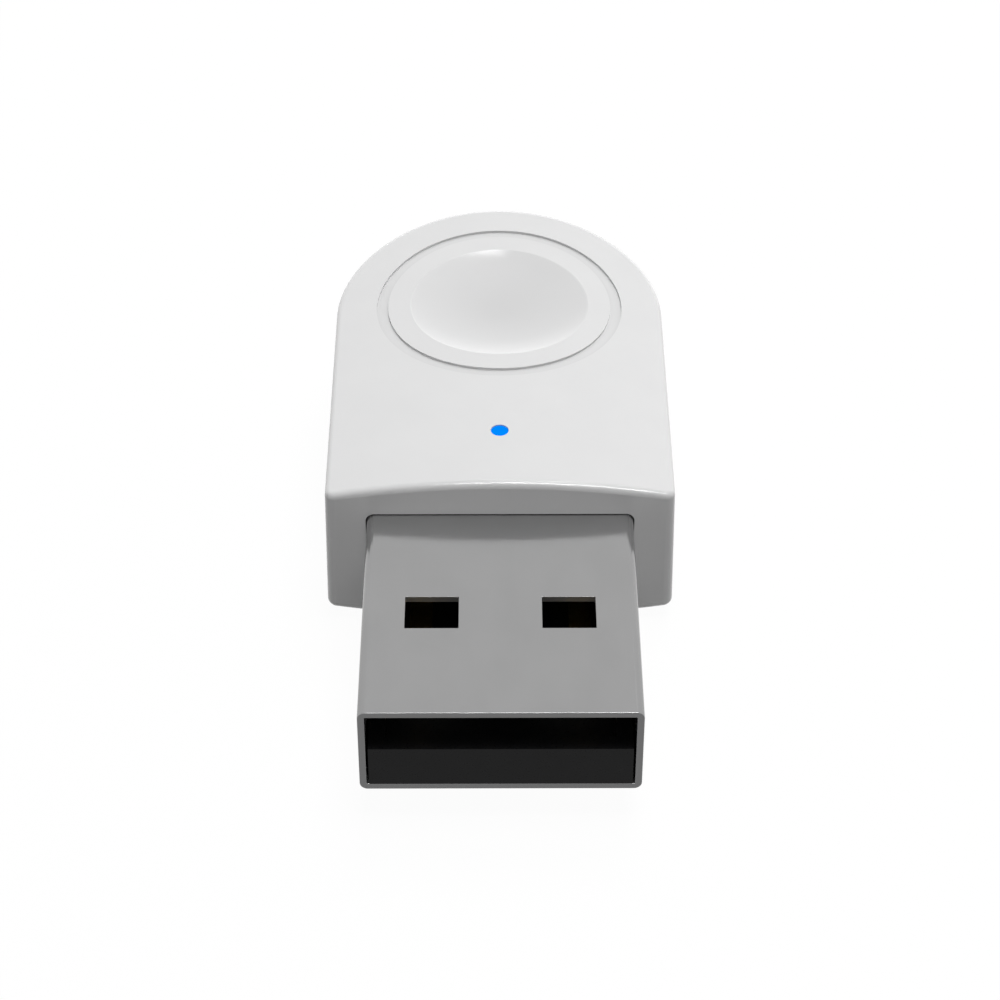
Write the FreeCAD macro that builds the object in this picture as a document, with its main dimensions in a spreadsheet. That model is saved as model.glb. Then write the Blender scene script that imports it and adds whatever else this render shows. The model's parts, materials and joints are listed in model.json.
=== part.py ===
import FreeCAD, Part
import math
import os
import re
import Sketcher
from FreeCAD import Placement, Rotation, Vector

# A pocket-size wireless adapter: a metal USB plug in front of a short plastic housing
# with a half-round rear. X runs across it, Y from the plug's mouth to the rear and Z up.
# Pieces are drawn from the foot of the housing's front face, at the plug's mid height, and
# each Placement moves them so that the row's origin lies under the middle of the whole.

# Every length is in millimetres and every angle in degrees.
SIZES = {
    # plug: folded steel tube
    "plug_width": 12.0,
    "plug_height": 4.5,
    "plug_length": 12.59,
    "shell_wall": 0.3,
    "shell_bend": 0.05,
    "shell_inside": 2.7,
    "window_width": 2.33,
    "window_length": 2.0,
    "window_setback": 5.2,
    "window_centre": 2.97,
    "seam_start": 0.4,
    "seam_gap": 0.05,
    "dovetail_reach": 0.9,
    "dovetail_length": 1.6,
    "dovetail_flare": 0.3,
    "dovetail_setback": 8.6,
    "leg_start": 3.4,
    "leg_width": 1.0,
    "leg_reach": 0.4,
    "ear_height": 1.6,
    "ear_lift": 0.05,
    # plug: insulator block
    "block_height": 2.08,
    "block_play": 0.1,
    "plug_depth": 12.2,
    "insulator_inside": 2.3,
    "recess_depth": 0.2,
    "recess_front_lip": 0.75,
    "recess_side_lip": 0.69,
    # plug: contacts
    "contact_width": 1.0,
    "contact_thickness": 0.25,
    "contact_sink": 0.15,
    "contact_nose": 0.12,
    "data_centre": 1.0,
    "power_centre": 3.5,
    "data_setback": 3.5,
    "power_setback": 2.5,
    "tail_width": 0.5,
    "foot_start": 3.05,
    "foot_length": 0.85,
    # housing: outside
    "housing_width": 15.95,
    "housing_length": 21.95,
    "roof_rise": 4.05,
    "base_drop": 3.98,
    "base_flat": 5.0,
    "draft_angle": 0.85,
    "crown_radius": 43.5,
    "edge_radius": 0.3,
    "corner_radius": 0.45,
    "foot_radius": 0.4,
    "ring_outer_radius": 5.92,
    "ring_inner_radius": 5.375,
    "ring_depth": 0.125,
    "dish_radius": 4.27,
    "dish_depth": 0.68,
    "dish_overreach": 0.43,
    "plug_gap": 0.06,
    "notch_radius": 0.4,
    # housing: inside
    "side_wall": 1.2,
    "roof_wall": 1.2,
    "rib_width": 0.8,
    "rib_overlap": 0.8,
    "rib_front": 5.3,
    "rib_rear": 12.2,
    "clamp_gap": 0.02,
    # lower cover
    "cover_wall": 1.0,
    "cover_play": 0.05,
    "lip_wall": 0.8,
    "post_side": 1.5,
    "post_spread": 4.4,
    "post_front": 7.0,
    "post_rear": 12.4,
    "snap_radius": 0.35,
    "snap_reach": 0.15,
    "snap_length": 5.0,
    "snap_height": 1.1,
    "snap_middle": 8.2,
    # light guide
    "light_setback": 3.95,
    "light_diameter": 0.78,
    "light_recess": 0.05,
    "light_play": 0.02,
    "peg_diameter": 1.6,
    "light_standoff": 0.15,
    # circuit board
    "board_thickness": 0.8,
    "board_height": 2.1,
    "board_front": 2.9,
    "board_play": 0.25,
    "leg_notch_depth": 0.15,
    "leg_notch_play": 0.1,
    # solder
    "solder_rise": 0.2,
    "solder_run": 0.35,
    "solder_overlap": 0.1,
    # aerial trace
    "trace_thickness": 0.05,
    "trace_width": 0.4,
    "trace_pitch": 0.85,
    "trace_rear_margin": 0.7,
    "trace_gap": 0.2,
    "feed_length": 1.1,
    # chip parts: resistors, capacitors, inductor and bead
    "small_length": 1.0,
    "small_width": 0.5,
    "resistor_height": 0.35,
    "capacitor_height": 0.5,
    "medium_length": 1.6,
    "medium_width": 0.8,
    "bead_height": 0.8,
    "large_length": 2.0,
    "large_width": 1.25,
    "large_height": 1.25,
    "cap_length": 0.22,
    "cap_proud": 0.03,
    # status light
    "led_length": 1.6,
    "led_width": 0.8,
    "led_base": 0.25,
    "led_height": 0.6,
    "lens_length": 1.0,
    "lens_taper": 0.06,
    # radio chip
    "radio_side": 5.0,
    "radio_height": 0.85,
    "land_width": 0.3,
    "land_pitch": 0.8,
    "land_height": 0.2,
    "land_proud": 0.02,
    "pin_mark_radius": 0.25,
    "pin_mark_depth": 0.06,
    "pin_mark_inset": 0.7,
    # crystal can
    "crystal_length": 2.5,
    "crystal_width": 2.0,
    "crystal_base": 0.4,
    "crystal_height": 0.8,
    "crystal_margin": 0.2,
    # leaded packages
    "package_length": 2.9,
    "package_width": 1.6,
    "package_height": 1.1,
    "package_lift": 0.1,
    "package_slope": 0.08,
    "lead_span": 2.8,
    "lead_width": 0.4,
    "lead_thickness": 0.15,
    "lead_foot": 0.35,
    "lead_pitch": 0.95,
    # places on the board: setbacks from the board's front edge, spreads from its middle
    # and insets from its sides
    "resistor_setback": 2.8,
    "resistor_spread": 1.1,
    "regulator_setback": 3.3,
    "regulator_inset": 2.8,
    "surge_setback": 3.3,
    "surge_inset": 2.8,
    "radio_setback": 7.4,
    "crystal_setback": 7.4,
    "crystal_inset": 1.6,
    "decoupling_setback": 7.5,
    "decoupling_pitch": 1.4,
    "decoupling_gap": 0.45,
    "bulk_setback": 6.7,
    "bulk_inset": 1.3,
    "bead_setback": 9.5,
    "bead_inset": 1.6,
    "trimming_setback": 10.1,
    "trimming_inset": 1.6,
    "trimming_spread": 0.55,
    "matching_setback": 10.9,
    "matching_spread": 0.6,
}

# How far a cutting shape runs past the surface that it cuts, and the swing that is wide
# enough to carry a crowned cut past both sides.
OVERRUN = 1.0
CROWN_SWING = 60

# Places that several pieces share, as formulas of the sizes, in the drawing frame.
MOUTH = "(-plug_length)"
TOP = "roof_rise"
BOTTOM = "(-base_drop)"
LEAN = "tan(draft_angle)"
REAR_CENTRE = "(housing_length - housing_width / 2)"
TOP_AXIS = f"({TOP} - crown_radius)"
LOWEST = f"({BOTTOM} - base_flat ^ 2 / (8 * crown_radius))"
BOTTOM_AXIS = f"({LOWEST} + crown_radius)"
SHELL_IN_X = "(plug_width / 2 - shell_wall)"
SHELL_IN_Z = "(plug_height / 2 - shell_wall)"
BLOCK_TOP = f"(block_height - {SHELL_IN_Z})"
CONTACT_TOP = f"({BLOCK_TOP} - contact_sink)"
CONTACT_UNDER = f"({CONTACT_TOP} - contact_thickness)"
BOARD_UNDER = f"({BOTTOM} + board_height)"
BOARD_TOP = f"({BOARD_UNDER} + board_thickness)"
BOARD_HALF = f"(housing_width / 2 - board_height * {LEAN} - side_wall - board_play)"
NOTCH_X = f"({SHELL_IN_X} - leg_notch_depth)"
NOTCH_HALF = "(plug_width / 2 + plug_gap)"
UNDER_PLUG = "(-plug_height / 2 - plug_gap)"
CROWN_DROP = "(housing_width ^ 2 / (8 * crown_radius))"
TRACE_START = "(board_front + matching_setback + small_length / 2 + trace_gap + feed_length)"

# Row origin: the middle of the overall length, on the surface that the housing stands on.
ORIGIN_Y = "(plug_length - housing_length) / 2"
ORIGIN_Z = "base_drop"

document = FreeCAD.newDocument("adapter")


def fill_sheet(sizes):
    """Write each size into its own cell, under its own name."""
    sheet = document.addObject("Spreadsheet::Sheet", "Sizes")
    for row, (alias, number) in enumerate(sizes.items(), start=1):
        sheet.set(f"A{row}", alias)
        sheet.set(f"B{row}", str(number))
        sheet.setAlias(f"B{row}", alias)
    document.recompute()


def bind(thing, target, formula):
    """Tie one property or dimension to a formula of the sizes."""
    text = re.sub(r"[a-z][a-z_]*[a-z]", lambda word: f"Sizes.{word[0]}" if word[0] in SIZES else word[0], formula)
    thing.setExpression(target, text)


# Sketches

# The axis that each origin plane faces, and the sign that its own offset has along it.
FACING = {"XY_Plane": 1, "XZ_Plane": -1, "YZ_Plane": 1}


def new_body(name):
    return document.addObject("PartDesign::Body", name)


def origin_part(body, role):
    return next(part for part in body.Origin.OriginFeatures if part.Role == role)


def new_sketch(body, name, plane, height="0"):
    """A sketch parallel to one of the body's own planes, at a height along the axis it faces."""
    sketch = body.newObject("Sketcher::SketchObject", name)
    sketch.AttachmentSupport = [(origin_part(body, plane), "")]
    sketch.MapMode = "FlatFace"
    bind(sketch, ".AttachmentOffset.Base.z", f"{FACING[plane]} * ({height})")
    return sketch


def hold(sketch, kind, curve, end, formula):
    """Hold one end of a curve at a signed distance from the sketch's origin."""
    point = sketch.getPoint(curve, end)
    start = point.x if kind == "DistanceX" else point.y
    number = sketch.addConstraint(Sketcher.Constraint(kind, -1, 1, curve, end, start))
    bind(sketch, f".Constraints[{number}]", formula)


def draw_polygon(sketch, corners):
    """A closed outline with each corner held at its own two coordinates."""
    first = sketch.GeometryCount
    count = len(corners)
    spots = [Vector(math.cos(2 * math.pi * n / count), math.sin(2 * math.pi * n / count), 0) for n in range(count)]
    for n in range(count):
        sketch.addGeometry(Part.LineSegment(spots[n], spots[(n + 1) % count]), False)
    for n in range(count):
        sketch.addConstraint(Sketcher.Constraint("Coincident", first + n, 2, first + (n + 1) % count, 1))
    for n, (across, up) in enumerate(corners):
        hold(sketch, "DistanceX", first + n, 1, across)
        hold(sketch, "DistanceY", first + n, 1, up)


def draw_rectangle(sketch, low_x, high_x, low_y, high_y):
    draw_polygon(sketch, [(low_x, low_y), (high_x, low_y), (high_x, high_y), (low_x, high_y)])


def draw_circle(sketch, centre_x, centre_y, radius):
    number = sketch.addGeometry(Part.Circle(Vector(1, 1, 0), Vector(0, 0, 1), 1), False)
    hold(sketch, "DistanceX", number, 3, centre_x)
    hold(sketch, "DistanceY", number, 3, centre_y)
    size = sketch.addConstraint(Sketcher.Constraint("Radius", number, 1))
    bind(sketch, f".Constraints[{size}]", radius)


def draw_tongue(sketch, half, front, centre):
    """A straight front, two straight sides and a half-round rear."""
    a = SIZES["housing_width"] / 2
    b = 0
    c = SIZES["housing_length"] - a
    sketch.addGeometry(Part.LineSegment(Vector(-a, b, 0), Vector(a, b, 0)), False)
    sketch.addGeometry(Part.LineSegment(Vector(a, b, 0), Vector(a, c, 0)), False)
    rear = Part.Circle(Vector(0, c, 0), Vector(0, 0, 1), a)
    sketch.addGeometry(Part.ArcOfCircle(rear, 0, math.pi), False)
    sketch.addGeometry(Part.LineSegment(Vector(-a, c, 0), Vector(-a, b, 0)), False)
    for n in range(4):
        sketch.addConstraint(Sketcher.Constraint("Coincident", n, 2, (n + 1) % 4, 1))
    for line, end, across, up in (
        (0, 1, f"-({half})", front),
        (0, 2, half, front),
        (1, 2, half, centre),
        (3, 1, f"-({half})", centre),
    ):
        hold(sketch, "DistanceX", line, end, across)
        hold(sketch, "DistanceY", line, end, up)
    hold(sketch, "DistanceY", 2, 3, centre)


# Features

def grow(body, kind, sketch, name, settings, formulas):
    """Add a feature made from a sketch, and stop if it leaves the solid as it was."""
    before = body.Shape.Volume if body.Tip else 0
    feature = body.newObject(f"PartDesign::{kind}", name)
    feature.Profile = sketch
    for key, setting in settings.items():
        setattr(feature, key, setting)
    for key, formula in formulas.items():
        bind(feature, key, formula)
    document.recompute()
    if abs(body.Shape.Volume - before) < 1e-9:
        raise RuntimeError(f"{body.Label}: {name} changes nothing")
    return feature


def pad(body, name, plane, low, high, draw, taper=None):
    """Extrude what draw puts on the plane, from low to high along the axis the plane faces."""
    sketch = new_sketch(body, f"{name}_sketch", plane, low)
    draw(sketch)
    formulas = {"Length": f"({high}) - ({low})"}
    if taper:
        formulas["TaperAngle"] = taper
    return grow(body, "Pad", sketch, name, {"Reversed": FACING[plane] < 0}, formulas)


def pocket(body, name, plane, low, high, draw):
    """Cut away what draw puts on the plane, from low to high along the axis the plane faces."""
    sketch = new_sketch(body, f"{name}_sketch", plane, low)
    draw(sketch)
    formulas = {"Length": f"({high}) - ({low})"}
    return grow(body, "Pocket", sketch, name, {"Reversed": FACING[plane] > 0}, formulas)


def swing_about(sketch, height):
    """Settings for a turn about a line that runs along the adapter at this height."""
    line = sketch.addGeometry(Part.LineSegment(Vector(0, 0, 0), Vector(SIZES["housing_length"], 0, 0)), True)
    sketch.addConstraint(Sketcher.Constraint("Horizontal", line))
    hold(sketch, "DistanceX", line, 1, "0")
    hold(sketch, "DistanceX", line, 2, "housing_length")
    hold(sketch, "DistanceY", line, 1, height)
    return {"ReferenceAxis": (sketch, ["Axis0"]), "Midplane": True, "Angle": CROWN_SWING}


def crown_cut(body, name, axis, low, high):
    """Turn away the stretch from low to high about an axis that runs along the adapter."""
    sketch = new_sketch(body, f"{name}_sketch", "YZ_Plane")
    draw_rectangle(sketch, f"-{OVERRUN}", f"housing_length + {OVERRUN}", low, high)
    return grow(body, "Groove", sketch, name, swing_about(sketch, axis), {})


def round_edges(body, name, wanted, radius):
    """Fillet the edges of the body's last feature that wanted picks out."""
    base = body.Tip
    names = [f"Edge{n}" for n, edge in enumerate(base.Shape.Edges, start=1) if wanted(edge)]
    if not names:
        raise RuntimeError(f"{body.Label}: {name} finds no edges")
    fillet = body.newObject("PartDesign::Fillet", name)
    fillet.Base = (base, names)
    bind(fillet, "Radius", radius)
    document.recompute()


def repeat(body, name, feature, axis, pitch, count):
    """Repeat a feature in a row along one of the body's axes."""
    pattern = body.newObject("PartDesign::LinearPattern", name)
    pattern.Originals = [feature]
    pattern.Direction = (origin_part(body, axis), [""])
    pattern.Occurrences = count
    bind(pattern, "Length", f"{pitch} * {count - 1}")
    body.Tip = pattern
    document.recompute()


def fuse(name, pieces):
    joined = document.addObject("Part::MultiFuse", name)
    joined.Shapes = pieces
    return joined


def common(name, pieces):
    shared = document.addObject("Part::MultiCommon", name)
    shared.Shapes = pieces
    return shared


def cut(name, base, tool):
    rest = document.addObject("Part::Cut", name)
    rest.Base = base
    rest.Tool = tool
    return rest


def place(piece, right="0", back="0", up="0", turn=0):
    """Set a finished piece in the row frame."""
    piece.Placement = Placement(Vector(), Rotation(Vector(0, 0, 1), turn))
    bind(piece, ".Placement.Base.x", right)
    bind(piece, ".Placement.Base.y", f"{ORIGIN_Y} + {back}")
    bind(piece, ".Placement.Base.z", f"{ORIGIN_Z} + {up}")
    FINISHED.append(piece)


FINISHED = []


# Housing

def is_upright_front(edge):
    """The two upright corners of the front face."""
    start, end = (vertex.Point for vertex in edge.Vertexes)
    leaning = abs(end.z - start.z) > SIZES["roof_rise"]
    return leaning and edge.CenterOfMass.y < SIZES["side_wall"]


def crown_edges(body, side):
    """The rim of the crowned top (side 1) or bottom (side -1)."""
    rim = []
    for face in body.Tip.Shape.Faces:
        crowned = getattr(face.Surface, "Radius", 0)
        if abs(crowned - SIZES["crown_radius"]) < 1e-6 and face.CenterOfMass.z * side > 0:
            rim = face.Edges
    return lambda edge: any(edge.isSame(other) for other in rim)


def drafted_tongue(inset):
    """The housing's outline just below it, moved in by inset."""
    low = f"({BOTTOM} - {OVERRUN})"
    half = f"housing_width / 2 + {OVERRUN} * {LEAN} - ({inset})"
    front = f"({inset}) - {OVERRUN} * {LEAN}"
    return low, lambda sketch: draw_tongue(sketch, half, front, REAR_CENTRE)


def make_outer_form():
    """The closed outside of the housing, which its two mouldings share.

    Roof and underside are crowned across, and the underside ends in a narrow flat."""
    body = new_body("outer_form")
    low, outline = drafted_tongue("0")
    pad(body, "walls", "XY_Plane", low, f"{TOP} + {OVERRUN}", outline, "-draft_angle")
    crown_cut(body, "top_crown", TOP_AXIS, TOP, f"{TOP} + 2 * {OVERRUN}")
    crown_cut(body, "bottom_crown", BOTTOM_AXIS, f"{BOTTOM} - 2 * {OVERRUN}", LOWEST)
    round_edges(body, "front_corners", is_upright_front, "corner_radius")
    round_edges(body, "top_rim", crown_edges(body, 1), "edge_radius")
    round_edges(body, "foot_rim", crown_edges(body, -1), "foot_radius")
    pocket(
        body, "base_flat", "XY_Plane", f"{BOTTOM} - {OVERRUN}", BOTTOM,
        lambda sketch: draw_rectangle(
            sketch, "-base_flat", "base_flat", f"-{OVERRUN}", f"housing_length + {OVERRUN}",
        ),
    )
    return body


def make_cavity():
    """The room inside the walls, open below, under a roof of even thickness."""
    body = new_body("cavity")
    low, outline = drafted_tongue("side_wall")
    pad(body, "room", "XY_Plane", low, TOP, outline, "-draft_angle")
    crown_cut(body, "ceiling", TOP_AXIS, f"{TOP} - roof_wall", f"{TOP} + {OVERRUN}")
    return body


def make_notch():
    """The opening of the front wall, which the plug drops into from below."""
    body = new_body("plug_notch")
    pad(
        body, "opening", "XZ_Plane", f"-{OVERRUN}", f"side_wall + {OVERRUN}",
        lambda sketch: draw_rectangle(sketch, f"-{NOTCH_HALF}", NOTCH_HALF, f"{BOTTOM} - {OVERRUN}", f"-{UNDER_PLUG}"),
    )
    round_edges(
        body, "notch_corners",
        lambda edge: edge.CenterOfMass.z > 0 and edge.BoundBox.XLength + edge.BoundBox.ZLength < 1e-6,
        "notch_radius",
    )
    return body


def make_ring_groove():
    """The shallow ring in the roof. Its floor follows the crown."""
    body = new_body("ring_groove")

    def draw(sketch):
        draw_circle(sketch, "0", REAR_CENTRE, "ring_outer_radius")
        draw_circle(sketch, "0", REAR_CENTRE, "ring_inner_radius")

    pad(body, "ring", "XY_Plane", f"{TOP} - 3 * {OVERRUN}", f"{TOP} + {OVERRUN}", draw)
    crown_cut(body, "ring_floor", TOP_AXIS, f"{TOP} - 4 * {OVERRUN}", f"{TOP} - ring_depth")
    return body


def make_dish():
    """The dished middle of the disc inside the ring.

    Its floor curves both ways, and by less across the adapter, where the roof falls away
    on both sides. So its rim is a true circle on the crowned roof."""
    body = new_body("dish")
    along = "((dish_radius ^ 2 + dish_depth ^ 2) / (2 * dish_depth))"
    across = f"(1 / (1 / {along} - 1 / crown_radius))"
    floor = f"({TOP} - dish_depth)"
    reach = "(dish_radius + dish_overreach)"
    rise = f"({along} - sqrt({along} ^ 2 - {reach} ^ 2))"
    sketch = new_sketch(body, "dish_sketch", "YZ_Plane")
    radius = (SIZES["dish_radius"] ** 2 + SIZES["dish_depth"] ** 2) / (2 * SIZES["dish_depth"])
    span = SIZES["dish_radius"] + SIZES["dish_overreach"]
    middle = SIZES["housing_length"] - SIZES["housing_width"] / 2
    centre = Vector(middle, SIZES["roof_rise"] - SIZES["dish_depth"] + radius, 0)
    half = math.asin(span / radius)
    bowl = Part.Circle(centre, Vector(0, 0, 1), radius)
    arc = Part.ArcOfCircle(bowl, -math.pi / 2 - half, -math.pi / 2 + half)
    left, right = arc.StartPoint, arc.EndPoint
    lid = Vector(0, OVERRUN, 0)
    sketch.addGeometry(arc, False)
    sketch.addGeometry(Part.LineSegment(right, right + lid), False)
    sketch.addGeometry(Part.LineSegment(right + lid, left + lid), False)
    sketch.addGeometry(Part.LineSegment(left + lid, left), False)
    for n in range(4):
        sketch.addConstraint(Sketcher.Constraint("Coincident", n, 2, (n + 1) % 4, 1))
    hold(sketch, "DistanceX", 0, 3, REAR_CENTRE)
    hold(sketch, "DistanceX", 0, 1, f"{REAR_CENTRE} - {reach}")
    hold(sketch, "DistanceY", 0, 1, f"{floor} + {rise}")
    hold(sketch, "DistanceX", 0, 2, f"{REAR_CENTRE} + {reach}")
    hold(sketch, "DistanceY", 0, 3, f"{floor} + {along}")
    sketch.addConstraint(Sketcher.Constraint("Vertical", 1))
    sketch.addConstraint(Sketcher.Constraint("Vertical", 3))
    sketch.addConstraint(Sketcher.Constraint("Horizontal", 2))
    hold(sketch, "DistanceY", 1, 2, f"{TOP} + {OVERRUN}")
    grow(body, "Revolution", sketch, "bowl", swing_about(sketch, f"{floor} + {across}"), {})
    return body


def make_rod(name, radius, length, right, back, up, along_y=False):
    """A round bar that stands upright, or lies along the adapter."""
    rod = document.addObject("Part::Cylinder", name)
    if along_y:
        rod.Placement = Placement(Vector(), Rotation(Vector(1, 0, 0), -90))
    bind(rod, "Radius", radius)
    bind(rod, "Height", length)
    bind(rod, ".Placement.Base.x", right)
    bind(rod, ".Placement.Base.y", back)
    bind(rod, ".Placement.Base.z", up)
    return rod


def make_snap_bars(name, play):
    """The pair of bars that lock the cover: beads on its edge, or the grooves they click into."""
    edge = f"(housing_width / 2 - side_wall - cover_play - snap_height * {LEAN})"
    bars = []
    for side, sign in (("left", -1), ("right", 1)):
        bars.append(make_rod(
            f"{name}_{side}", f"snap_radius + {play}", f"snap_length + 2 * {play}",
            f"{sign} * ({edge} + snap_reach - snap_radius)",
            f"snap_middle - snap_length / 2 - {play}", f"{BOTTOM} + snap_height", along_y=True,
        ))
    return bars


def make_ribs():
    """Four ribs down the side walls. They hold the board on the cover's posts."""
    ribs = []
    low = f"{BOARD_TOP} + clamp_gap"
    high = f"{TOP} - {CROWN_DROP} - roof_wall / 2"
    for side, sign in (("left", -1), ("right", 1)):
        for end in ("front", "rear"):
            body = new_body(f"rib_{end}_{side}")
            near = f"{sign} * ({BOARD_HALF} - rib_overlap)"
            far = f"{sign} * (housing_width / 2 - side_wall / 2)"
            spans = (near, far, f"rib_{end} - rib_width / 2", f"rib_{end} + rib_width / 2")
            pad(body, "rib", "XY_Plane", low, high, lambda sketch, spans=spans: draw_rectangle(sketch, *spans))
            ribs.append(body)
    return ribs


def make_upper_housing(outer_form):
    """The drafted, crowned moulding: roof, side walls and front wall in one."""
    bore = make_rod(
        "light_bore", "light_diameter / 2 + light_play", f"roof_wall + 2 * {OVERRUN}",
        "0", "light_setback", f"{TOP} - roof_wall - {OVERRUN}",
    )
    openings = [make_cavity(), make_notch(), make_ring_groove(), make_dish(), bore]
    openings += make_snap_bars("snap_groove", "cover_play")
    shell = cut("housing_shell", outer_form, fuse("housing_openings", openings))
    place(fuse("upper_housing", [shell] + make_ribs()))


def make_lower_cover(outer_form):
    """The crowned plate that snaps in from below, with the tongue that closes the notch."""
    blank = new_body("cover_blank")
    low, outline = drafted_tongue("side_wall + cover_play")
    pad(blank, "plate", "XY_Plane", low, UNDER_PLUG, outline, "-draft_angle")
    half = f"({NOTCH_HALF} - cover_play)"
    pad(
        blank, "tongue", "XY_Plane", low, UNDER_PLUG,
        lambda sketch: draw_rectangle(sketch, f"-{half}", half, f"-{OVERRUN}", "side_wall + lip_wall"),
    )
    hollow = new_body("cover_hollow")
    low, outline = drafted_tongue("side_wall + cover_play + lip_wall")
    pad(hollow, "room", "XY_Plane", low, f"{UNDER_PLUG} + {OVERRUN}", outline, "-draft_angle")
    crown_cut(hollow, "floor", BOTTOM_AXIS, f"{BOTTOM} - 2 * {OVERRUN}", f"{LOWEST} + cover_wall")
    tray = cut("cover_tray", common("cover_form", [outer_form, blank]), hollow)
    seat = f"({BOTTOM} + cover_wall / 2)"
    posts = []
    for side, sign in (("left", -1), ("right", 1)):
        for end in ("front", "rear"):
            post = new_body(f"post_{end}_{side}")
            near = f"({sign} * post_spread - post_side / 2)"
            front = f"(post_{end} - post_side / 2)"
            spans = (near, f"{near} + post_side", front, f"{front} + post_side")
            pad(post, "post", "XY_Plane", seat, BOARD_UNDER, lambda sketch, spans=spans: draw_rectangle(sketch, *spans))
            posts.append(post)
    place(fuse("lower_cover", [tray] + posts + make_snap_bars("snap_bead", "0")))


def make_light_guide():
    """A stepped clear peg: its head shows in the roof and its foot stands over the light."""
    body = new_body("light_guide")
    head = "light_diameter / 2"
    peg = "peg_diameter / 2"
    top = f"{TOP} - light_recess"
    seat = f"{TOP} - roof_wall - light_play"
    foot = f"{BOARD_TOP} + led_height + light_standoff"
    profile = [("0", foot), (peg, foot), (peg, seat), (head, seat), (head, top), ("0", top)]
    sketch = new_sketch(body, "peg_sketch", "XZ_Plane")
    draw_polygon(sketch, profile)
    grow(body, "Revolution", sketch, "peg", {"ReferenceAxis": (sketch, ["V_Axis"]), "Angle": 360}, {})
    place(body, back="light_setback")


# Plug

def draw_windows(sketch):
    for sign in (-1, 1):
        near = f"({sign} * window_centre - window_width / 2)"
        start = f"{MOUTH} + window_setback"
        draw_rectangle(sketch, near, f"{near} + window_width", start, f"{start} + window_length")


def draw_seam(sketch):
    """The butt joint of the folded sheet, with one dovetail across it. A weld closes it at the mouth."""
    gap = "seam_gap"
    mouth = f"{MOUTH} + seam_start"
    rear = f"shell_inside + {OVERRUN}"
    first = f"{MOUTH} + dovetail_setback"
    last = f"{first} + dovetail_length"
    tip = "dovetail_reach"
    flare = "dovetail_flare"
    draw_polygon(sketch, [
        (f"{gap} / 2", mouth), (f"{gap} / 2", f"{first} - {gap}"),
        (f"{tip} + {gap} / 2", f"{first} - {flare} - {gap}"), (f"{tip} + {gap} / 2", f"{last} + {flare} + {gap}"),
        (f"{gap} / 2", f"{last} + {gap}"), (f"{gap} / 2", rear),
        (f"-{gap} / 2", rear), (f"-{gap} / 2", last),
        (f"{tip} - {gap} / 2", f"{last} + {flare}"), (f"{tip} - {gap} / 2", f"{first} - {flare}"),
        (f"-{gap} / 2", first), (f"-{gap} / 2", mouth),
    ])


def make_plug_shell():
    """A steel tube folded from sheet, with four windows, a seam below and two solder legs."""
    body = new_body("plug_shell")
    half_x = "plug_width / 2"
    half_z = "plug_height / 2"

    def is_long_corner(edge):
        return edge.BoundBox.XLength + edge.BoundBox.ZLength < 1e-6

    def is_inner_corner(edge):
        return is_long_corner(edge) and abs(edge.CenterOfMass.x) < SIZES["plug_width"] / 2 - SIZES["shell_wall"] + 1e-6 \
            and abs(edge.CenterOfMass.z) < SIZES["plug_height"] / 2 - SIZES["shell_wall"] + 1e-6

    pad(
        body, "tube", "XZ_Plane", MOUTH, "shell_inside",
        lambda sketch: draw_rectangle(sketch, f"-{half_x}", half_x, f"-{half_z}", half_z),
    )
    round_edges(body, "outer_folds", is_long_corner, "shell_bend + shell_wall")
    pocket(
        body, "bore", "XZ_Plane", f"{MOUTH} - {OVERRUN}", f"shell_inside + {OVERRUN}",
        lambda sketch: draw_rectangle(sketch, f"-{SHELL_IN_X}", SHELL_IN_X, f"-{SHELL_IN_Z}", SHELL_IN_Z),
    )
    round_edges(body, "inner_folds", is_inner_corner, "shell_bend")
    pocket(body, "windows", "XY_Plane", f"-{half_z} - {OVERRUN}", f"{half_z} + {OVERRUN}", draw_windows)
    pocket(body, "seam", "XY_Plane", f"-{half_z} - {OVERRUN}", f"-{half_z} + shell_wall + {OVERRUN}", draw_seam)
    ear_low = f"{BOARD_TOP} + ear_lift"
    ear_high = f"{BOARD_TOP} + ear_height"
    leg_end = "leg_start + leg_width"
    side = [
        ("shell_inside - shell_wall", ear_low), ("leg_start", ear_low),
        ("leg_start", f"{BOARD_UNDER} - leg_reach"), (leg_end, f"{BOARD_UNDER} - leg_reach"),
        (leg_end, ear_high), ("shell_inside - shell_wall", ear_high),
    ]
    for name, low in (("right_leg", SHELL_IN_X), ("left_leg", f"-{half_x}")):
        pad(body, name, "YZ_Plane", low, f"{low} + shell_wall", lambda sketch: draw_polygon(sketch, side))
    place(body)


def draw_contact_slots(sketch, centre):
    """A pair of slots, each as wide as its contact."""
    for sign in (-1, 1):
        middle = f"{sign} * {centre}"
        draw_rectangle(
            sketch, f"{middle} - contact_width / 2", f"{middle} + contact_width / 2", CONTACT_UNDER, CONTACT_TOP,
        )


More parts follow.
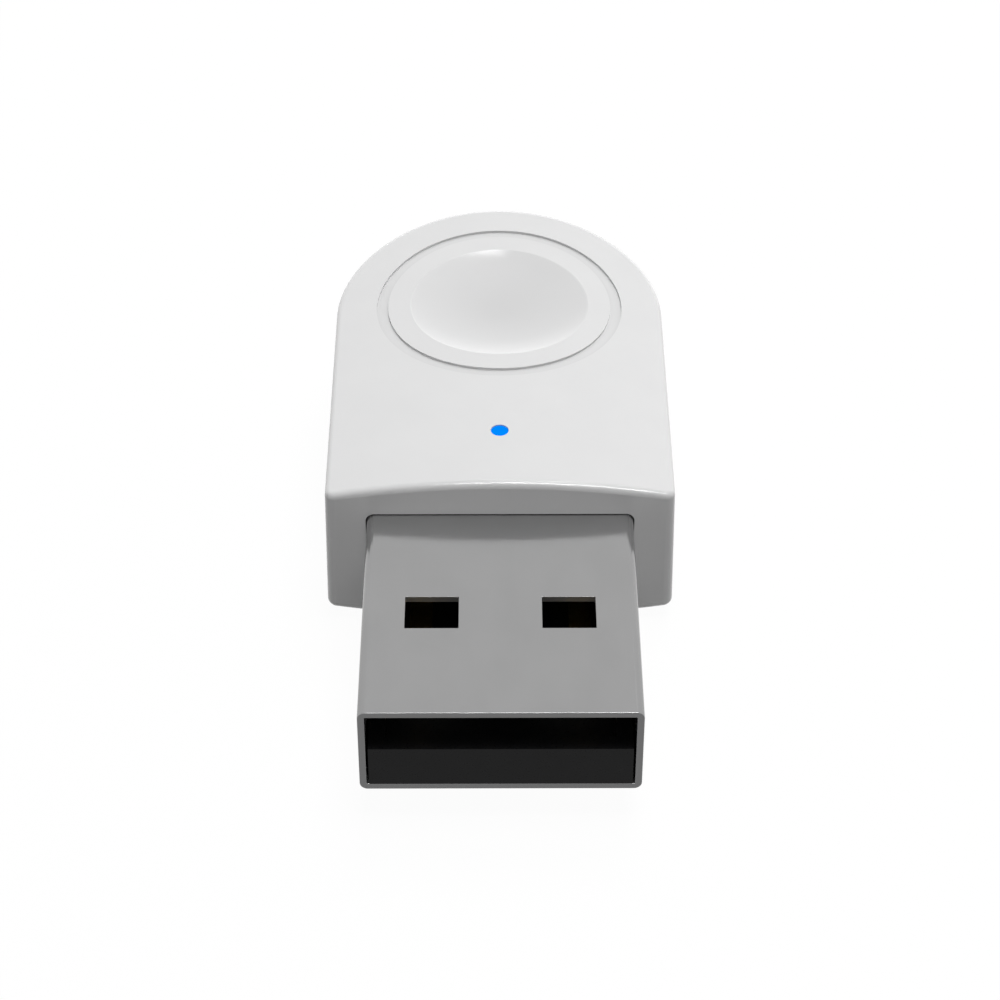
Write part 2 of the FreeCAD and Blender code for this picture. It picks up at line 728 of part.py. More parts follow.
def make_plug_insulator():
    """The black block: a low tongue with a lipped recess, and a full-height back."""
    body = new_body("plug_insulator")
    half = f"({SHELL_IN_X} - block_play)"
    recess = f"({half} - recess_side_lip)"
    back = f"({MOUTH} + plug_depth)"
    wide = f"({SHELL_IN_X} - shell_bend)"
    tall = f"({SHELL_IN_Z} - shell_bend)"
    section = [
        (SHELL_IN_X, f"-{tall}"), (SHELL_IN_X, tall), (wide, SHELL_IN_Z), (f"-{wide}", SHELL_IN_Z),
        (f"-{SHELL_IN_X}", tall), (f"-{SHELL_IN_X}", f"-{tall}"), (f"-{wide}", f"-{SHELL_IN_Z}"),
        (wide, f"-{SHELL_IN_Z}"),
    ]
    pad(body, "back", "XZ_Plane", back, "insulator_inside", lambda sketch: draw_polygon(sketch, section))
    pad(
        body, "tongue", "XZ_Plane", MOUTH, f"{back} + shell_wall",
        lambda sketch: draw_rectangle(sketch, f"-{half}", half, f"-{SHELL_IN_Z}", BLOCK_TOP),
    )
    pocket(
        body, "recess", "XY_Plane", f"{BLOCK_TOP} - recess_depth", f"{BLOCK_TOP} + recess_depth",
        lambda sketch: draw_rectangle(sketch, f"-{recess}", recess, f"{MOUTH} + recess_front_lip", back),
    )
    for kind in ("data", "power"):
        pocket(
            body, f"{kind}_slots", "XZ_Plane", f"{MOUTH} + {kind}_setback", f"insulator_inside + {OVERRUN}",
            lambda sketch, kind=kind: draw_contact_slots(sketch, f"{kind}_centre"),
        )
    place(body)


def make_contact(name, centre, setback, sign):
    """A flat strip in the block's slot, stepped down behind it to a narrow foot on the board."""
    body = new_body(name)
    middle = f"({sign} * {centre})"
    tip = f"{MOUTH} + {setback}"
    drop = "insulator_inside + contact_thickness"
    heel = "foot_start"
    toe = "foot_start + foot_length"
    under = f"{BOARD_TOP}"
    over = f"{BOARD_TOP} + contact_thickness"
    strip = [
        (tip, CONTACT_UNDER), (drop, CONTACT_UNDER), (heel, under), (toe, under),
        (toe, over), (f"{heel} + contact_thickness", over), (f"{drop} + contact_thickness", CONTACT_TOP),
        (f"{tip} + contact_nose", CONTACT_TOP), (tip, f"{CONTACT_TOP} - contact_nose"),
    ]
    pad(
        body, "strip", "YZ_Plane", f"{middle} - contact_width / 2", f"{middle} + contact_width / 2",
        lambda sketch: draw_polygon(sketch, strip),
    )

    def draw_waists(sketch):
        for edge in (-1, 1):
            near = f"{middle} + {edge} * tail_width / 2"
            far = f"{middle} + {edge} * contact_width"
            draw_rectangle(sketch, near, far, drop, f"{toe} + {OVERRUN}")

    pocket(body, "tail", "XY_Plane", f"{BOARD_TOP} - {OVERRUN}", f"{CONTACT_TOP} + {OVERRUN}", draw_waists)
    place(body)


def make_contact_solder(name, centre, sign):
    """The wedge of solder at the toe of a contact's foot."""
    body = new_body(name)
    middle = f"({sign} * {centre})"
    half = "(tail_width / 2 + solder_overlap)"
    toe = "foot_start + foot_length"
    wedge = [(toe, BOARD_TOP), (f"{toe} + solder_run", BOARD_TOP), (toe, f"{BOARD_TOP} + solder_rise")]
    pad(
        body, "wedge", "YZ_Plane", f"{middle} - {half}", f"{middle} + {half}",
        lambda sketch: draw_polygon(sketch, wedge),
    )
    place(body)


def make_leg_solder(name, sign):
    """The solder between a shell leg and the side of its notch in the board."""
    body = new_body(name)
    leg = f"{sign} * {SHELL_IN_X}"
    wall = f"{sign} * {NOTCH_X}"
    fillet = [
        (f"{sign} * ({NOTCH_X} - solder_run)", BOARD_UNDER), (wall, BOARD_UNDER), (wall, BOARD_TOP),
        (leg, BOARD_TOP), (leg, f"{BOARD_UNDER} - solder_run"),
    ]
    pad(
        body, "fillet", "XZ_Plane", "leg_start", "leg_start + leg_width",
        lambda sketch: draw_polygon(sketch, fillet),
    )
    place(body)


# Circuit board and what is soldered to it

def make_circuit_board():
    """A board with the housing's outline, and a notch each side for the plug's legs."""
    body = new_body("circuit_board")
    pad(
        body, "board", "XY_Plane", BOARD_UNDER, BOARD_TOP,
        lambda sketch: draw_tongue(sketch, BOARD_HALF, "board_front", REAR_CENTRE),
    )

    def draw_notches(sketch):
        for sign in (-1, 1):
            draw_rectangle(
                sketch, f"{sign} * {NOTCH_X}", f"{sign} * ({BOARD_HALF} + {OVERRUN})",
                "leg_start - leg_notch_play", "leg_start + leg_width + leg_notch_play",
            )

    pocket(body, "leg_notches", "XY_Plane", f"{BOARD_UNDER} - {OVERRUN}", f"{BOARD_TOP} + {OVERRUN}", draw_notches)
    place(body)


def meander(runs):
    """The outline of a strip that runs back and forth, as one closed list of corners."""
    low = TRACE_START
    half = f"(trace_pitch * {(runs - 1) / 2} + trace_width / 2)"
    high = f"({REAR_CENTRE} + sqrt({BOARD_HALF} ^ 2 - {half} ^ 2) - trace_rear_margin)"
    left_side = []
    right_side = []
    for run in range(runs):
        left = f"({run - (runs - 1) / 2} * trace_pitch - trace_width / 2)"
        right = f"({left} + trace_width)"
        if run % 2 == 0:
            left_side.append((left, f"{low} + trace_width" if run else f"{low} - feed_length"))
            left_side.append((left, high))
            right_side.append((right, low if run else f"{low} - feed_length"))
            right_side.append((right, high if run == runs - 1 else f"{high} - trace_width"))
        else:
            left_side.append((right, high))
            left_side.append((right, f"{low} + trace_width"))
            right_side.append((left, f"{high} - trace_width"))
            right_side.append((left, low))
    return left_side + right_side[::-1]


def make_antenna_trace():
    """The copper aerial: a feed that runs into a meander near the rear of the board."""
    body = new_body("antenna_trace")
    trace = meander(7)
    pad(
        body, "trace", "XY_Plane", BOARD_TOP, f"{BOARD_TOP} + trace_thickness",
        lambda sketch: draw_polygon(sketch, trace),
    )
    place(body)


def make_chip_part(name, size, height, right, back, turn=90):
    """A resistor, capacitor, inductor or bead: a ceramic bar between two metal end caps."""
    body = new_body(name)
    half = f"{size}_length / 2"
    neck = f"({half} - cap_length)"
    top = f"({height} - cap_proud)"
    profile = [
        (f"-{half}", "0"), (half, "0"), (half, height), (neck, height),
        (neck, top), (f"-{neck}", top), (f"-{neck}", height), (f"-{half}", height),
    ]
    pad(
        body, "bar", "XZ_Plane", f"-{size}_width / 2", f"{size}_width / 2",
        lambda sketch: draw_polygon(sketch, profile),
    )
    place(body, right, back, BOARD_TOP, turn)


def make_status_led():
    """The surface light under the guide: a base with a raised lens."""
    body = new_body("status_led")
    half = "led_length / 2"
    lens = "lens_length / 2"
    profile = [
        (f"-{half}", "0"), (half, "0"), (half, "led_base"), (lens, "led_base"),
        (f"{lens} - lens_taper", "led_height"), (f"-{lens} + lens_taper", "led_height"),
        (f"-{lens}", "led_base"), (f"-{half}", "led_base"),
    ]
    pad(body, "lamp", "XZ_Plane", "-led_width / 2", "led_width / 2", lambda sketch: draw_polygon(sketch, profile))
    place(body, "0", "light_setback", BOARD_TOP, 90)


def make_radio_chip():
    """A square flat package with a row of lands along each side and a pin mark."""
    body = new_body("radio_chip")
    half = "radio_side / 2"
    pad(
        body, "package", "XY_Plane", "0", "radio_height",
        lambda sketch: draw_rectangle(sketch, f"-{half}", half, f"-{half}", half),
    )
    land_count = 5
    edge = f"({half} + land_proud)"
    first = f"(-land_pitch * {(land_count - 1) / 2})"
    strip = (f"{first} - land_width / 2", f"{first} + land_width / 2")
    rows = (
        ("side_lands", "Y_Axis", (f"-{edge}", edge) + strip),
        ("end_lands", "X_Axis", strip + (f"-{edge}", edge)),
    )
    for name, axis, spans in rows:
        row = pad(
            body, name, "XY_Plane", "0", "land_height",
            lambda sketch, spans=spans: draw_rectangle(sketch, *spans),
        )
        repeat(body, f"{name}_row", row, axis, "land_pitch", land_count)
    pocket(
        body, "pin_mark", "XY_Plane", "radio_height - pin_mark_depth", f"radio_height + {OVERRUN}",
        lambda sketch: draw_circle(
            sketch, f"-{half} + pin_mark_inset", f"{half} - pin_mark_inset", "pin_mark_radius",
        ),
    )
    place(body, "0", "board_front + radio_setback", BOARD_TOP)


def make_crystal():
    """The sealed crystal: a ceramic base under a metal lid."""
    body = new_body("crystal")
    half_x = "crystal_width / 2"
    half_y = "crystal_length / 2"
    lid_x = f"({half_x} - crystal_margin)"
    lid_y = f"({half_y} - crystal_margin)"
    pad(
        body, "base", "XY_Plane", "0", "crystal_base",
        lambda sketch: draw_rectangle(sketch, f"-{half_x}", half_x, f"-{half_y}", half_y),
    )
    pad(
        body, "lid", "XY_Plane", "crystal_base", "crystal_height",
        lambda sketch: draw_rectangle(sketch, f"-{lid_x}", lid_x, f"-{lid_y}", lid_y),
    )
    place(body, f"-({BOARD_HALF} - crystal_inset)", "board_front + crystal_setback", BOARD_TOP)


def make_leaded_package(name, left_leads, right_leads, right, back):
    """A small moulded package on bent leads: three places each side, some of them empty."""
    body = new_body(name)
    half = "package_width / 2"
    split = "(package_lift + package_height) / 2"
    narrow = f"({half} - package_slope)"
    moulding = [
        (f"-{narrow}", "package_lift"), (narrow, "package_lift"), (half, split),
        (narrow, "package_height"), (f"-{narrow}", "package_height"), (f"-{half}", split),
    ]
    pad(
        body, "moulding", "XZ_Plane", "-package_length / 2", "package_length / 2",
        lambda sketch: draw_polygon(sketch, moulding),
    )
    for side, sign, spots in (("left", -1, left_leads), ("right", 1, right_leads)):
        knee = "lead_span / 2 - lead_foot"
        rise = f"{split} + lead_thickness / 2"
        lead = [
            (f"{sign} * ({half} - package_slope)", f"{rise} - lead_thickness"),
            (f"{sign} * ({knee} - lead_thickness)", f"{rise} - lead_thickness"),
            (f"{sign} * ({knee} - lead_thickness)", "0"),
            (f"{sign} * lead_span / 2", "0"),
            (f"{sign} * lead_span / 2", "lead_thickness"),
            (f"{sign} * ({knee})", "lead_thickness"),
            (f"{sign} * ({knee})", rise),
            (f"{sign} * ({half} - package_slope)", rise),
        ]
        for spot in spots:
            pad(
                body, f"{side}_lead_{spot + 2}", "XZ_Plane",
                f"{spot} * lead_pitch - lead_width / 2", f"{spot} * lead_pitch + lead_width / 2",
                lambda sketch, lead=lead: draw_polygon(sketch, lead),
            )
    place(body, right, back, BOARD_TOP)


def make_board_parts():
    """Everything that is soldered to the top of the board."""
    make_circuit_board()
    make_antenna_trace()
    make_status_led()
    make_radio_chip()
    make_crystal()
    regulator = (f"-({BOARD_HALF} - regulator_inset)", "board_front + regulator_setback")
    make_leaded_package("voltage_regulator", (-1, 0, 1), (-1, 1), *regulator)
    surge = (f"{BOARD_HALF} - surge_inset", "board_front + surge_setback")
    make_leaded_package("surge_protector", (0,), (-1, 1), *surge)
    row = "board_front + resistor_setback"
    make_chip_part("led_resistor", "small", "resistor_height", "0", row)
    make_chip_part("data_resistor_left", "small", "resistor_height", "-resistor_spread", row)
    make_chip_part("data_resistor_right", "small", "resistor_height", "resistor_spread", row)
    beside_radio = "radio_side / 2 + land_proud + decoupling_gap + small_width / 2"
    for number in (1, 2, 3):
        spot = f"board_front + decoupling_setback + {number - 2} * decoupling_pitch"
        make_chip_part(f"decoupling_capacitor_{number}", "small", "capacitor_height", beside_radio, spot)
    bulk = (f"{BOARD_HALF} - bulk_inset", "board_front + bulk_setback")
    make_chip_part("bulk_capacitor", "large", "large_height", *bulk)
    bead = (f"{BOARD_HALF} - bead_inset", "board_front + bead_setback")
    make_chip_part("ferrite_bead", "medium", "bead_height", *bead)
    for side, sign in (("left", -1), ("right", 1)):
        spot = f"{sign} * trimming_spread - ({BOARD_HALF} - trimming_inset)"
        trimming = (spot, "board_front + trimming_setback")
        make_chip_part(f"crystal_capacitor_{side}", "small", "capacitor_height", *trimming)
    row = "board_front + matching_setback"
    make_chip_part("antenna_capacitor", "small", "capacitor_height", "-matching_spread", row)
    make_chip_part("antenna_inductor", "small", "capacitor_height", "matching_spread", row)


def make_plug():
    make_plug_shell()
    make_plug_insulator()
    contacts = (
        ("power", "power_centre", "power_setback", -1),
        ("data_minus", "data_centre", "data_setback", -1),
        ("data_plus", "data_centre", "data_setback", 1),
        ("ground", "power_centre", "power_setback", 1),
    )
    for name, centre, setback, sign in contacts:
        make_contact(f"contact_{name}", centre, setback, sign)
        make_contact_solder(f"solder_{name}", centre, sign)
    make_leg_solder("solder_leg_left", -1)
    make_leg_solder("solder_leg_right", 1)


def check_and_export():
    """Stop on any failed object or bad solid, then write each finished piece."""
    document.recompute()
    for thing in document.Objects:
        if "Invalid" in thing.State or "Error" in thing.State:
            raise RuntimeError(f"{thing.Label} failed: {thing.State}")
    for piece in FINISHED:
        shape = piece.Shape
        if shape.isNull() or not shape.isValid() or len(shape.Solids) != 1:
            raise RuntimeError(f"{piece.Label} is not one sound solid")
    os.makedirs("parts", exist_ok=True)
    for piece in FINISHED:
        piece.Shape.exportStep(os.path.join("parts", f"{piece.Label}.step"))
        box = piece.Shape.BoundBox
        print(f"{piece.Label:26s} {piece.Shape.Volume:9.3f} mm3  y {box.YMin:7.3f} {box.YMax:7.3f}"
              f"  z {box.ZMin:6.3f} {box.ZMax:6.3f}")


fill_sheet(SIZES)
form = make_outer_form()
make_upper_housing(form)
make_lower_cover(form)
make_light_guide()
make_plug()
make_board_parts()
check_and_export()
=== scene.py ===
import json
import math

import bpy
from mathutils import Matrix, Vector

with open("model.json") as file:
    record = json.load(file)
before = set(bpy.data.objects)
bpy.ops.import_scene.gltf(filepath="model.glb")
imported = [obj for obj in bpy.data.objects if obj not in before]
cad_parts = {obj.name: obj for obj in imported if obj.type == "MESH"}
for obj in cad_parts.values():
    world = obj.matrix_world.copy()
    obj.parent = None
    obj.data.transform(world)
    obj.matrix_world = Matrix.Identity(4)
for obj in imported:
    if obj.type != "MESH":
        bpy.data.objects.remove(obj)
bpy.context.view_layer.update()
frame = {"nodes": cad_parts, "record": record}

scene = bpy.context.scene
scene.view_settings.view_transform = "Standard"
nodes = frame["nodes"]

MM = 0.001


# Materials

class Shader:
    """A node material with one surface shader, built up a node at a time."""

    def __init__(self, name, colour, roughness, metallic=0.0, **sockets):
        self.material = bpy.data.materials.new(name)
        self.material.use_nodes = True
        self.tree = self.material.node_tree
        self.surface = self.tree.nodes["Principled BSDF"]
        self.set("Base Color", (*colour, 1.0))
        self.set("Roughness", roughness)
        self.set("Metallic", metallic)
        for socket, setting in sockets.items():
            self.set(socket.replace("_", " "), setting)
        self.place = self.node("ShaderNodeTexCoord").outputs["Object"]
        self.height = None

    def set(self, socket, setting):
        self.surface.inputs[socket].default_value = setting

    def node(self, kind, **settings):
        made = self.tree.nodes.new(kind)
        for key, setting in settings.items():
            setattr(made, key, setting)
        return made

    def link(self, source, target):
        self.tree.links.new(source, target)

    def noise(self, size, detail=3.0, stretch=(1, 1, 1)):
        """Noise whose blotches are about size metres across, longer where stretch is under 1."""
        spread = self.node("ShaderNodeMapping")
        spread.inputs["Scale"].default_value = stretch
        self.link(self.place, spread.inputs["Vector"])
        field = self.node("ShaderNodeTexNoise")
        field.inputs["Scale"].default_value = 1 / size
        field.inputs["Detail"].default_value = detail
        self.link(spread.outputs["Vector"], field.inputs["Vector"])
        return field.outputs["Fac"]

    def ramp(self, factor, low, high, start=0.35, stop=0.65):
        """A number that goes from low to high as factor goes from start to stop."""
        scale = self.node("ShaderNodeMapRange")
        for socket, setting in (("From Min", start), ("From Max", stop), ("To Min", low), ("To Max", high)):
            scale.inputs[socket].default_value = setting
        self.link(factor, scale.inputs["Value"])
        return scale.outputs["Result"]

    def mixed(self, factor, first, second):
        """A colour that goes from first to second with factor. Each may be a colour or an output."""
        mix = self.node("ShaderNodeMix", data_type="RGBA")
        for socket, colour in (("A", first), ("B", second)):
            if isinstance(colour, tuple):
                mix.inputs[socket].default_value = (*colour, 1.0)
            else:
                self.link(colour, mix.inputs[socket])
        self.link(factor, mix.inputs["Factor"])
        return mix.outputs["Result"]

    def tint(self, factor, dark, light):
        self.link(self.mixed(factor, dark, light), self.surface.inputs["Base Color"])

    def blend(self, socket, factor, first, second):
        """Drive a socket from first to second with factor."""
        if socket == "Base Color":
            result = self.mixed(factor, first, second)
        else:
            mix = self.node("ShaderNodeMix", data_type="FLOAT")
            self.link(first, mix.inputs["A"])
            mix.inputs["B"].default_value = second
            self.link(factor, mix.inputs["Factor"])
            result = mix.outputs["Result"]
        self.link(result, self.surface.inputs[socket])

    def maths(self, operation, *terms):
        """The result of a sum on numbers and outputs."""
        step = self.node("ShaderNodeMath", operation=operation)
        for term, socket in zip(terms, step.inputs):
            if isinstance(term, (int, float)):
                socket.default_value = term
            else:
                self.link(term, socket)
        return step.outputs["Value"]

    def faces_along_y(self):
        """1 on faces that look along the adapter, toward the mouth or the rear, and 0 elsewhere."""
        split = self.node("ShaderNodeSeparateXYZ")
        self.link(self.node("ShaderNodeTexCoord").outputs["Normal"], split.inputs["Vector"])
        return self.ramp(self.maths("ABSOLUTE", split.outputs["Y"]), 0, 1, 0.8, 0.95)

    def away_from(self, middle):
        """How far a place is from an upright line through middle, in metres."""
        split = self.node("ShaderNodeSeparateXYZ")
        self.link(self.place, split.inputs["Vector"])
        across = self.maths("SUBTRACT", split.outputs["X"], middle[0])
        along = self.maths("SUBTRACT", split.outputs["Y"], middle[1])
        square = self.maths("ADD", self.maths("POWER", across, 2.0), self.maths("POWER", along, 2.0))
        return self.maths("SQRT", square), split.outputs["Z"]

    def rough(self, factor, low, high):
        self.link(self.ramp(factor, low, high), self.surface.inputs["Roughness"])

    def bump(self, factor, depth):
        """Relief that is depth metres deep."""
        relief = self.node("ShaderNodeBump")
        relief.inputs["Strength"].default_value = 1.0
        relief.inputs["Distance"].default_value = depth
        self.link(factor, relief.inputs["Height"])
        if self.height:
            self.link(self.height, relief.inputs["Normal"])
        self.height = relief.outputs["Normal"]
        self.link(self.height, self.surface.inputs["Normal"])


def grey(level):
    """A neutral colour."""
    return (level, level, level)


PLAIN_WHITE = ((0.733, 0.733, 0.735), (0.745, 0.745, 0.746))
# The colour of the painted shade in the dish and the groove.
PAINTED_SHADE_WHITE = (0.645, 0.645, 0.647)
REAR_MIDDLE = (0, 9.29 * MM)
DISH_RIM = 4.27 * MM
GROOVE_INNER = 5.375 * MM
GROOVE_OUTER = 5.92 * MM
GROOVE_MIDDLE = (GROOVE_INNER + GROOVE_OUTER) / 2
GROOVE_WALL = (GROOVE_OUTER - GROOVE_INNER) / 2
ROOF_FOOT = 6.5 * MM


def painted_dish_shade(look, reach):
    """Painted shade, full in the middle of the dish, a quarter near its rim and none past it."""
    core = 0.5 * MM
    rim_blur = 0.05 * MM
    bowl = look.ramp(reach, 1, 0.25, core, DISH_RIM)
    return look.maths("MULTIPLY", bowl, look.ramp(reach, 1, 0, DISH_RIM - rim_blur, DISH_RIM))


def painted_groove_shade(look, reach):
    """Painted shade, weakest along the middle of the groove's floor and deepest at the feet of its walls.

    The walls themselves are lighter again."""
    slope = 0.2 * MM
    foot_start = 0.006 * MM
    foot_end = 0.003 * MM
    past_wall = 0.01 * MM
    off_middle = look.maths("ABSOLUTE", look.maths("SUBTRACT", reach, GROOVE_MIDDLE))
    floor = look.ramp(off_middle, 0.37, 0.9, GROOVE_WALL - slope, GROOVE_WALL)
    foot = look.ramp(off_middle, 1, 0.3, GROOVE_WALL - foot_start, GROOVE_WALL - foot_end)
    inside = look.maths("LESS_THAN", off_middle, GROOVE_WALL + past_wall)
    return look.maths("MULTIPLY", look.maths("MULTIPLY", floor, foot), inside)


def housing_plastic():
    """White moulded plastic with a fine satin grain. Painted shade darkens it a touch in the dish and in
    the groove.
    """
    look = Shader("housing_plastic", grey(0.74), 0.13)
    plain = look.mixed(look.ramp(look.noise(2.5 * MM), 0, 1), *PLAIN_WHITE)
    reach, height = look.away_from(REAR_MIDDLE)
    on_roof = look.maths("GREATER_THAN", height, ROOF_FOOT)
    painted_hollow_shade = look.maths("ADD", painted_groove_shade(look, reach), painted_dish_shade(look, reach))
    # Painted shade in the dish and the groove, on the roof only.
    look.tint(look.maths("MULTIPLY", on_roof, painted_hollow_shade), plain, PAINTED_SHADE_WHITE)
    grain = look.noise(0.09 * MM, detail=2.0)
    look.rough(grain, 0.11, 0.15)
    look.bump(grain, 0.0003 * MM)
    return look.material


def cover_plastic():
    """The same plastic as the housing, from a coarser mould."""
    look = Shader("cover_plastic", grey(0.74), 0.3)
    look.tint(look.ramp(look.noise(1.8 * MM), 0, 1), *PLAIN_WHITE)
    grain = look.noise(0.12 * MM, detail=2.0)
    look.rough(grain, 0.26, 0.34)
    look.bump(grain, 0.0005 * MM)
    return look.material


def plug_steel():
    """Nickel-plated sheet, rolled along the plug, with faint draw lines. Its cut edges are rougher, and
    darker both as bare steel and by painted shade for the darker surroundings they mirror.
    """
    look = Shader("plug_steel", grey(0.33), 0.18, metallic=0.7)
    cut_edge_and_shade = look.faces_along_y()
    lines = look.noise(0.05 * MM, detail=2.0, stretch=(1, 0.04, 1))
    cloud = look.ramp(look.noise(1.6 * MM, stretch=(1, 0.5, 1)), 0, 1)
    rolled = look.mixed(cloud, (0.325, 0.325, 0.326), (0.337, 0.337, 0.338))
    # Faces that look along the plug are darker: partly bare cut steel, partly painted shade standing in for
    # the darker surroundings they mirror.
    look.blend("Base Color", cut_edge_and_shade, rolled, (0.18, 0.18, 0.181))
    look.blend("Roughness", cut_edge_and_shade, look.ramp(lines, 0.13, 0.16), 0.45)
    look.bump(lines, 0.00005 * MM)
    return look.material


def insulator_plastic():
    """Matt black moulding."""
    look = Shader("insulator_plastic", grey(0.008), 0.3, Specular_IOR_Level=0.12)
    look.tint(look.ramp(look.noise(0.8 * MM), 0, 1), (0.007, 0.007, 0.0075), (0.009, 0.009, 0.0095))
    look.rough(look.noise(0.1 * MM), 0.27, 0.35)
    look.bump(look.noise(0.1 * MM), 0.001 * MM)
    return look.material


def guide_plastic():
    """Clear plastic that glows blue from the light under it."""
    look = Shader("guide_plastic", (0.0, 0.1, 0.4), 0.3, Emission_Strength=1.0, Specular_IOR_Level=0.0)
    glow = look.noise(0.3 * MM)
    look.tint(look.ramp(glow, 0, 1), (0.0, 0.09, 0.38), (0.0, 0.11, 0.42))
    look.set("Emission Color", (0.0, 0.16, 0.66, 1.0))
    return look.material


GRAIN = 0.15 * MM


def grained(name, dark, light, low, high, metallic, depth):
    """A clouded colour between dark and light, with a grain whose roughness goes from low to high."""
    look = Shader(name, light, high, metallic=metallic)
    look.tint(look.ramp(look.noise(GRAIN * 4), 0, 1), dark, light)
    grain = look.noise(GRAIN)
    look.rough(grain, low, high)
    look.bump(grain, depth)
    return look.material


def metal(name, dark, light, low, high):
    return grained(name, dark, light, low, high, metallic=1.0, depth=0.001 * MM)


def dull(name, dark, light, low, high):
    return grained(name, dark, light, low, high, metallic=0.0, depth=0.002 * MM)


MATERIALS = {
    "housing_plastic": housing_plastic(),
    "cover_plastic": cover_plastic(),
    "guide_plastic": guide_plastic(),
    "plug_steel": plug_steel(),
    "insulator_plastic": insulator_plastic(),
    "contact_gold": metal("contact_gold", (0.78, 0.55, 0.22), (0.85, 0.64, 0.3), 0.15, 0.25),
    "solder": metal("solder", (0.55, 0.56, 0.58), (0.66, 0.67, 0.68), 0.2, 0.35),
    "board_laminate": dull("board_laminate", (0.008, 0.07, 0.03), (0.012, 0.1, 0.04), 0.25, 0.35),
    "board_copper": metal("board_copper", (0.5, 0.24, 0.12), (0.6, 0.3, 0.16), 0.3, 0.4),
    "led_resin": dull("led_resin", (0.66, 0.7, 0.74), (0.74, 0.78, 0.82), 0.15, 0.25),
    "chip_plastic": dull("chip_plastic", (0.014, 0.014, 0.015), (0.022, 0.022, 0.023), 0.5, 0.65),
    "crystal_can": metal("crystal_can", (0.5, 0.5, 0.48), (0.6, 0.6, 0.58), 0.25, 0.4),
    "resistor_ceramic": dull("resistor_ceramic", (0.03, 0.03, 0.035), (0.06, 0.06, 0.065), 0.25, 0.4),
    "chip_ceramic": dull("chip_ceramic", (0.4, 0.28, 0.18), (0.5, 0.36, 0.24), 0.35, 0.5),
    "ferrite": dull("ferrite", (0.05, 0.048, 0.045), (0.08, 0.075, 0.07), 0.4, 0.55),
}

for row in frame["record"]["subparts"]:
    piece = nodes[row["node"]]
    piece.data.materials.clear()
    piece.data.materials.append(MATERIALS[row["material_slot"]])


EASED_WIDTH = 0.03 * MM
WELD_REACH = 0.001 * MM
SQUARE_EDGE = 50


def ease_edges(piece):
    """Take the sharpness off a piece's square edges."""
    weld = piece.modifiers.new("weld", "WELD")
    weld.merge_threshold = WELD_REACH
    bevel = piece.modifiers.new("bevel", "BEVEL")
    bevel.width = EASED_WIDTH
    bevel.segments = 3
    bevel.limit_method = "ANGLE"
    bevel.angle_limit = math.radians(SQUARE_EDGE)
    bevel.use_clamp_overlap = False
    bevel.harden_normals = True


ease_edges(nodes["plug_shell"])


# Surroundings

# The floor's grey is for the light that it throws back. It looks white, apart from the share that
# keeps the adapter's shadow.
FLOOR_HALF = 1.2
FLOOR_GREY = 0.24
FLOOR_SEEN_WHITE = 0.96
AMBIENT = 0.227


def seen_directly(tree):
    """1 for what the camera, a reflection or a view through glass sees, and 0 for light."""
    path = tree.nodes.new("ShaderNodeLightPath")
    total = path.outputs["Is Camera Ray"]
    for other in ("Is Glossy Ray", "Is Transmission Ray"):
        highest = tree.nodes.new("ShaderNodeMath")
        highest.operation = "MAXIMUM"
        tree.links.new(total, highest.inputs[0])
        tree.links.new(path.outputs[other], highest.inputs[1])
        total = highest.outputs[0]
    return total


def make_floor():
    """A flat floor under the adapter."""
    mesh = bpy.data.meshes.new("floor")
    h = FLOOR_HALF
    mesh.from_pydata([(-h, -h, 0), (h, -h, 0), (h, h, 0), (-h, h, 0)], [], [(0, 1, 2, 3)])
    floor = bpy.data.objects.new("floor", mesh)
    scene.collection.objects.link(floor)
    material = bpy.data.materials.new("floor")
    material.use_nodes = True
    tree = material.node_tree
    tree.nodes.clear()
    lit = tree.nodes.new("ShaderNodeBsdfDiffuse")
    tone = tree.nodes.new("ShaderNodeMapRange")
    tone.inputs["To Min"].default_value = FLOOR_GREY
    tone.inputs["To Max"].default_value = 1.0
    seen = seen_directly(tree)
    tree.links.new(seen, tone.inputs["Value"])
    tree.links.new(tone.outputs["Result"], lit.inputs["Color"])
    white = tree.nodes.new("ShaderNodeEmission")
    share = tree.nodes.new("ShaderNodeMath")
    share.operation = "MULTIPLY"
    share.inputs[1].default_value = FLOOR_SEEN_WHITE
    tree.links.new(seen, share.inputs[0])
    mix = tree.nodes.new("ShaderNodeMixShader")
    out = tree.nodes.new("ShaderNodeOutputMaterial")
    tree.links.new(share.outputs[0], mix.inputs[0])
    tree.links.new(lit.outputs[0], mix.inputs[1])
    tree.links.new(white.outputs[0], mix.inputs[2])
    tree.links.new(mix.outputs[0], out.inputs["Surface"])
    mesh.materials.append(material)


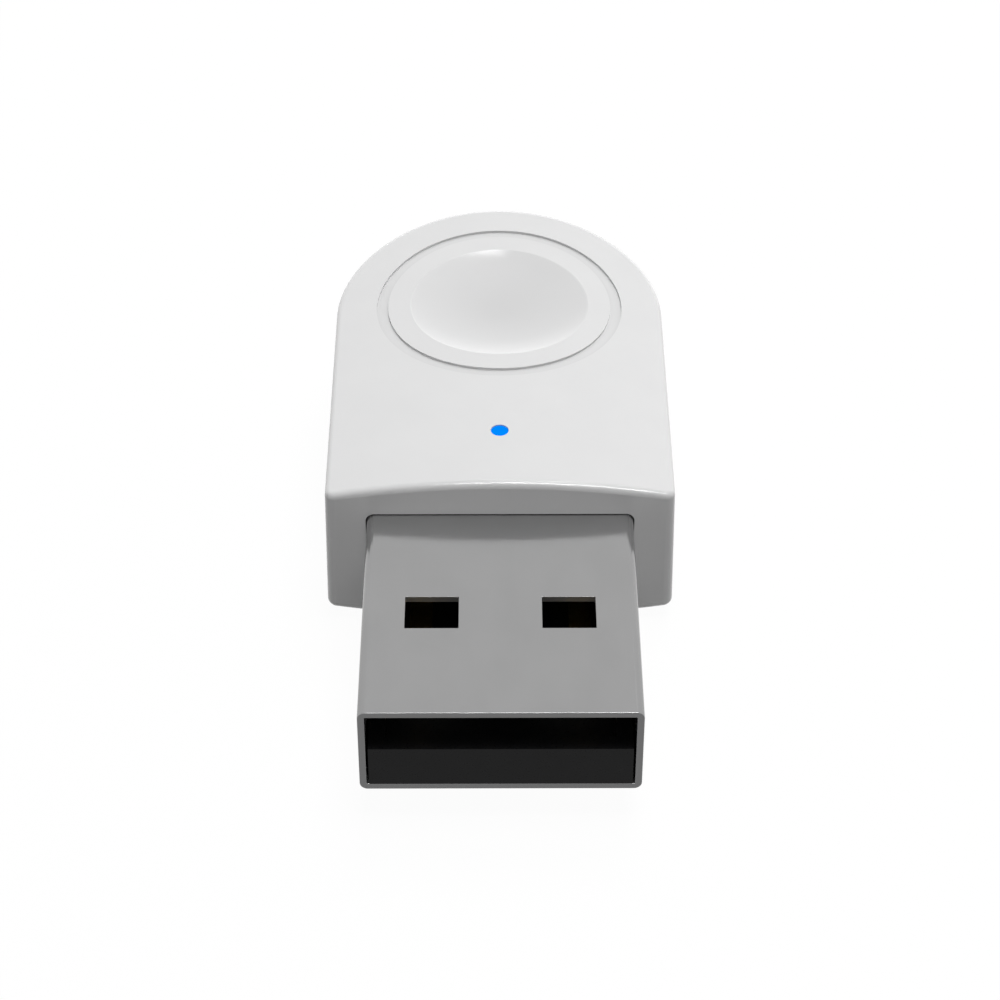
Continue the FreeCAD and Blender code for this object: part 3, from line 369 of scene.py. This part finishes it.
def make_world():
    """Dim light from all round, with white where the world is seen."""
    world = bpy.data.worlds.new("studio")
    scene.world = world
    world.use_nodes = True
    tree = world.node_tree
    tree.nodes.clear()
    dim = tree.nodes.new("ShaderNodeBackground")
    dim.inputs["Strength"].default_value = AMBIENT
    white = tree.nodes.new("ShaderNodeBackground")
    for shade in (dim, white):
        shade.inputs["Color"].default_value = (1, 1, 1, 1)
    mix = tree.nodes.new("ShaderNodeMixShader")
    out = tree.nodes.new("ShaderNodeOutputWorld")
    tree.links.new(seen_directly(tree), mix.inputs[0])
    tree.links.new(dim.outputs[0], mix.inputs[1])
    tree.links.new(white.outputs[0], mix.inputs[2])
    tree.links.new(mix.outputs[0], out.inputs["Surface"])


# From here up a lamp faces straight down.
HIGH_UP = 0.65


def make_lamp(name, place, size, power, mirrored=True, lighting=True):
    """A soft box. High over the adapter it faces straight down, and lower it faces the adapter.

    Where it isn't mirrored, only its even light reaches the surfaces. Where it isn't lighting, only
    its mirror image does."""
    light = bpy.data.lights.new(name, "AREA")
    light.shape = "RECTANGLE"
    light.size, light.size_y = size
    light.energy = power
    lamp = bpy.data.objects.new(name, light)
    scene.collection.objects.link(lamp)
    lamp.location = place
    lamp.visible_glossy = mirrored
    lamp.visible_diffuse = lighting
    if place[2] < HIGH_UP:
        lamp.rotation_euler = (-Vector(place)).to_track_quat("-Z", "Y").to_euler()


CAMERA_PLACE = (-0.274 * MM, -101.02 * MM, 88.30 * MM)
CAMERA_PITCH = 49.9065
CAMERA_YAW = -0.163
LENS = 101.353


def make_camera():
    """The photo's viewpoint."""
    data = bpy.data.cameras.new("camera")
    data.lens = LENS
    data.sensor_width = 36
    data.clip_start = 1 * MM
    camera = bpy.data.objects.new("camera", data)
    scene.collection.objects.link(camera)
    camera.location = CAMERA_PLACE
    camera.rotation_euler = (math.radians(CAMERA_PITCH), 0, math.radians(CAMERA_YAW))
    scene.camera = camera


make_floor()
make_world()
make_lamp("soft_box", place=(0.095, -0.01, 0.7), size=(0.31, 0.3), power=2.6, mirrored=False)
make_lamp("glint_card", place=(0.095, -0.17, 0.7), size=(0.31, 0.18), power=3.6, lighting=False)
make_lamp("rim_lamp", place=(0.068, 0.25, 0.7), size=(0.152, 0.06), power=0.29)
make_lamp("rear_fill", place=(0.1, 0.35, 0.6), size=(0.3, 0.2), power=1.22, mirrored=False)
make_lamp("low_strip", place=(-0.02, 0.5, 0.022), size=(0.62, 0.03), power=1.8, mirrored=False)
make_lamp("side_lamp", place=(0.38, 0.32, 0.09), size=(0.25, 0.12), power=0.38, mirrored=False)
make_camera()
